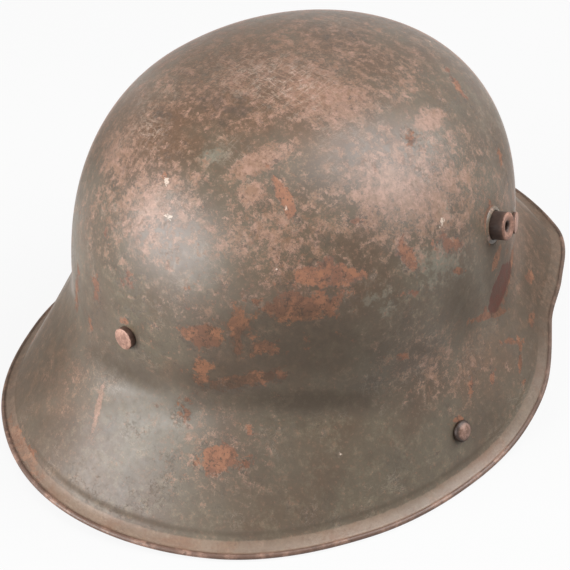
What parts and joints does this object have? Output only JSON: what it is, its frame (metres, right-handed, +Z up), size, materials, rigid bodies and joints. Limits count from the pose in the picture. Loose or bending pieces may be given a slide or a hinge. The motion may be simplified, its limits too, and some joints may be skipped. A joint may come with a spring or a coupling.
{
  "type": "steel helmet",
  "caption": "Pressed steel helmet with a visor, flared skirt, hollow vent lugs, a riveted band liner with leather pads, and a swinging chin strap with opening clips and a sliding buckle.",
  "frame": {"origin": "bottom centre of the box, on the table under the dome's axis, midway between the visor's edge and the nape's edge", "axes": "+Z up to the crown, -Y towards the visor, +Y towards the nape, +X towards the wearer's left"},
  "size_m": [0.249, 0.301, 0.176],
  "materials": {
    "painted_steel": "worn satin field-grey paint with rust",
    "rusty_steel": "rusty brown steel with remains of paint",
    "small_steel": "dull steel with light rust",
    "band_steel": "dull steel strip with light rust",
    "strap_steel": "worn dark grey paint",
    "pad_leather": "old brown leather",
    "strap_leather": "old dark brown leather",
    "cushion_cloth": "coarse linen stuffed with hair"
  },
  "bodies": {
    "helmet": {"shell": "painted_steel", "left_vent_lug": "rusty_steel", "right_vent_lug": "rusty_steel", "rear_liner_rivet": "rusty_steel", "left_liner_rivet": "rusty_steel", "right_liner_rivet": "rusty_steel", "rear_washer": "small_steel", "left_washer": "small_steel", "right_washer": "small_steel", "left_chin_rivet": "rusty_steel", "right_chin_rivet": "rusty_steel", "left_strap_lug": "small_steel", "right_strap_lug": "small_steel", "liner_band": "band_steel", "band_rivets": "small_steel", "front_pad": "pad_leather", "left_pad": "pad_leather", "right_pad": "pad_leather", "front_pad_rivets": "small_steel", "left_pad_rivets": "small_steel", "right_pad_rivets": "small_steel", "front_cushion": "cushion_cloth", "left_cushion": "cushion_cloth", "right_cushion": "cushion_cloth"},
    "strap": {"chin_strap": "strap_leather", "left_clip": "strap_steel", "right_clip": "strap_steel", "strap_rivets": "small_steel", "gate_pins": "small_steel"},
    "left_gate": {"left_gate": "strap_steel"},
    "right_gate": {"right_gate": "strap_steel"},
    "buckle": {"buckle": "strap_steel"}
  },
  "joints": [
    {"name": "chin_strap_swing", "type": "hinge", "parent": "helmet", "child": "strap", "pos_m": [0, 0.0009, 0.03328], "axis": [1, 0, 0], "range_deg": [-10, 140]},
    {"name": "left_gate_turn", "type": "hinge", "parent": "strap", "child": "left_gate", "pos_m": [0.09729, -0.01959, 0.02869], "axis": [1, 0, 0], "range_deg": [0, 60]},
    {"name": "right_gate_turn", "type": "hinge", "parent": "strap", "child": "right_gate", "pos_m": [-0.09729, -0.01959, 0.02869], "axis": [1, 0, 0], "range_deg": [0, 60]},
    {"name": "buckle_slide", "type": "slide", "parent": "strap", "child": "buckle", "axis": [1, 0, 0], "range_m": [-0.028, 0.028]}
  ]
}
